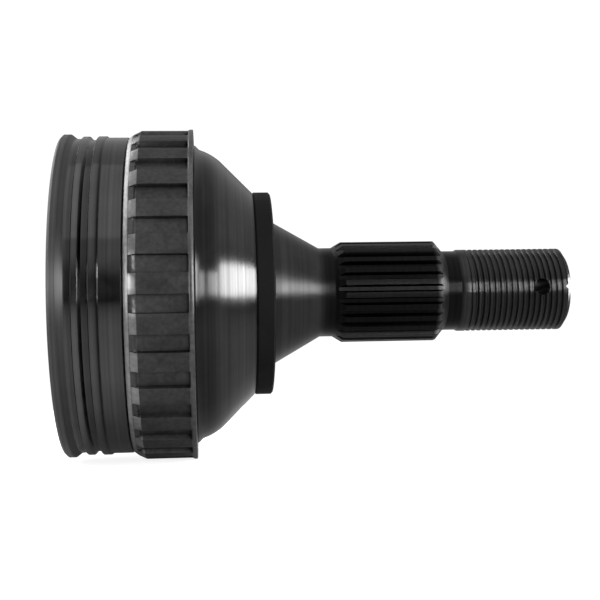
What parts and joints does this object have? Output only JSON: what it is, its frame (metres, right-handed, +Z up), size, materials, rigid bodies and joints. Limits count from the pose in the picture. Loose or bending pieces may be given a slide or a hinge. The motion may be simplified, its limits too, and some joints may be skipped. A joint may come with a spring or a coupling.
{
  "type": "cv joint",
  "caption": "Wheel-side ball-type driveshaft joint: grooved bell with ABS tone ring and seal ring, splined and threaded stub axle, caged balls and splined inner race that bends either way.",
  "frame": {"origin": "centre about which the joint bends, on the stub axle's axis", "axes": "+X along the stub axle towards its threaded end, +Z up, split-pin hole along Y"},
  "size_m": [0.1327, 0.0868, 0.0868],
  "materials": {
    "turned_steel": "turned, oiled",
    "ring_steel": "sintered, dark",
    "seal_rubber": "matte",
    "hardened_steel": "ground",
    "spring_steel": "oiled black",
    "ball_steel": "polished"
  },
  "bodies": {
    "bell": {"outer_race": "turned_steel", "abs_ring": "ring_steel", "seal_ring": "seal_rubber"},
    "inner": {"inner_race": "hardened_steel", "shaft_circlip": "spring_steel"},
    "cage": {"cage": "hardened_steel"},
    "ball_1": {"ball_1": "ball_steel"},
    "ball_2": {"ball_2": "ball_steel"},
    "ball_3": {"ball_3": "ball_steel"},
    "ball_4": {"ball_4": "ball_steel"},
    "ball_5": {"ball_5": "ball_steel"},
    "ball_6": {"ball_6": "ball_steel"}
  },
  "joints": [
    {"name": "articulation", "type": "hinge", "parent": "bell", "child": "inner", "pos_m": [0, 0, 0], "axis": [0, 1, 0], "range_deg": [-45, 45]},
    {"name": "cage_tilt", "type": "hinge", "parent": "bell", "child": "cage", "pos_m": [0, 0, 0], "axis": [0, 1, 0], "range_deg": [-23, 23]},
    {"name": "ball_1_roll", "type": "hinge", "parent": "bell", "child": "ball_1", "pos_m": [-0.003, 0, 0], "axis": [0, 0.866, 0.5], "range_deg": [-20, 20]},
    {"name": "ball_2_roll", "type": "hinge", "parent": "bell", "child": "ball_2", "pos_m": [0, -0.028, 0], "axis": [0, 1, 0], "range_deg": [-23, 23]},
    {"name": "ball_3_roll", "type": "hinge", "parent": "bell", "child": "ball_3", "pos_m": [-0.003, 0, 0], "axis": [0, -0.866, 0.5], "range_deg": [-20, 20]},
    {"name": "ball_4_roll", "type": "hinge", "parent": "bell", "child": "ball_4", "pos_m": [-0.003, 0, 0], "axis": [0, -0.866, -0.5], "range_deg": [-20, 20]},
    {"name": "ball_5_roll", "type": "hinge", "parent": "bell", "child": "ball_5", "pos_m": [0, 0.028, 0], "axis": [0, 1, 0], "range_deg": [-23, 23]},
    {"name": "ball_6_roll", "type": "hinge", "parent": "bell", "child": "ball_6", "pos_m": [-0.003, 0, 0], "axis": [0, 0.866, -0.5], "range_deg": [-20, 20]}
  ],
  "couplings": [
    {"joint": "cage_tilt", "follows": "articulation", "ratio": 0.5},
    {"joint": "ball_1_roll", "follows": "articulation", "ratio": 0.43864},
    {"joint": "ball_2_roll", "follows": "articulation", "ratio": 0.5},
    {"joint": "ball_3_roll", "follows": "articulation", "ratio": -0.43864},
    {"joint": "ball_4_roll", "follows": "articulation", "ratio": -0.43864},
    {"joint": "ball_5_roll", "follows": "articulation", "ratio": 0.5},
    {"joint": "ball_6_roll", "follows": "articulation", "ratio": 0.43864}
  ]
}
